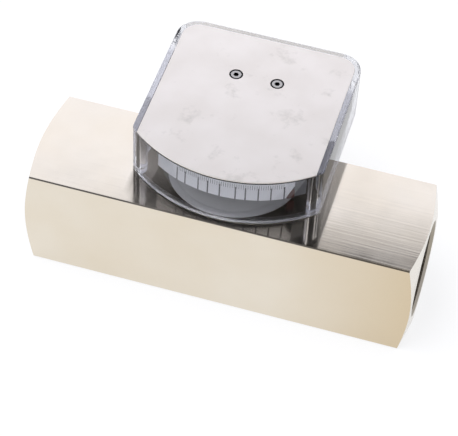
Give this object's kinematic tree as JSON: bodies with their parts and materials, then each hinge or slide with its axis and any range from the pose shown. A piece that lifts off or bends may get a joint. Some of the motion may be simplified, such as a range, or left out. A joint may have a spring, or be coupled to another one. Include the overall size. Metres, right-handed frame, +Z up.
{
  "type": "variable area flow meter",
  "caption": "Square-bar piston flow meter with a pipe thread in each end and a clear D-shaped hood over a curved scale and a magnetically driven pointer.",
  "frame": {"origin": "middle of the square bar's bottom face", "axes": "+X along the bar towards the inlet port, +Y towards the overhanging back of the hood, +Z up"},
  "size_m": [0.2, 0.1053, 0.0895],
  "materials": {
    "plated_brass": "nickel plated and polished",
    "turned_brass": "turned",
    "stainless": "bright turned",
    "magnet": "sintered, dark grey",
    "rubber": "smooth moulded",
    "clear_plastic": "clear, polished",
    "lid_metal": "fine brushed",
    "disc_metal": "satin",
    "carrier_plastic": "moulded, fine grain",
    "scale_white": "printed white, satin",
    "pointer_black": "moulded, fine grain",
    "pointer_red": "satin"
  },
  "bodies": {
    "base": {"meter_body": "plated_brass", "measuring_sleeve": "turned_brass", "inlet_spider": "turned_brass", "outlet_spider": "turned_brass", "pivot_bushes": "turned_brass", "sleeve_seal": "rubber", "stop_ring": "rubber", "lid_gasket": "rubber", "clear_hood": "clear_plastic", "lid_plate": "lid_metal", "damping_disc": "disc_metal", "scale_carrier": "carrier_plastic", "scale_strip": "scale_white", "lid_screws": "stainless", "carrier_screws": "stainless", "retaining_ring": "stainless", "guide_rod": "stainless", "rod_nuts": "stainless", "return_spring": "stainless"},
    "piston": {"piston": "stainless", "piston_magnet": "magnet", "magnet_nut": "stainless"},
    "pointer": {"pivot_shaft": "stainless", "shaft_clip": "stainless", "pointer_lever": "pointer_black", "follower_magnet": "magnet", "pointer_flag": "pointer_red"}
  },
  "joints": [
    {"name": "piston_slide", "type": "slide", "parent": "base", "child": "piston", "axis": [-1, 0, 0], "range_m": [0, 0.0457], "stiffness_N_per_m": 60, "springref_m": -0.02, "deforming": ["return_spring"]},
    {"name": "pointer_swing", "type": "hinge", "parent": "base", "child": "pointer", "pos_m": [-0.00199, 0.042, 0.07], "axis": [0, 0, -1], "range_deg": [0, 66]}
  ],
  "couplings": [
    {"joint": "pointer_swing", "follows": "piston_slide", "rad_per_m": 25.2}
  ]
}
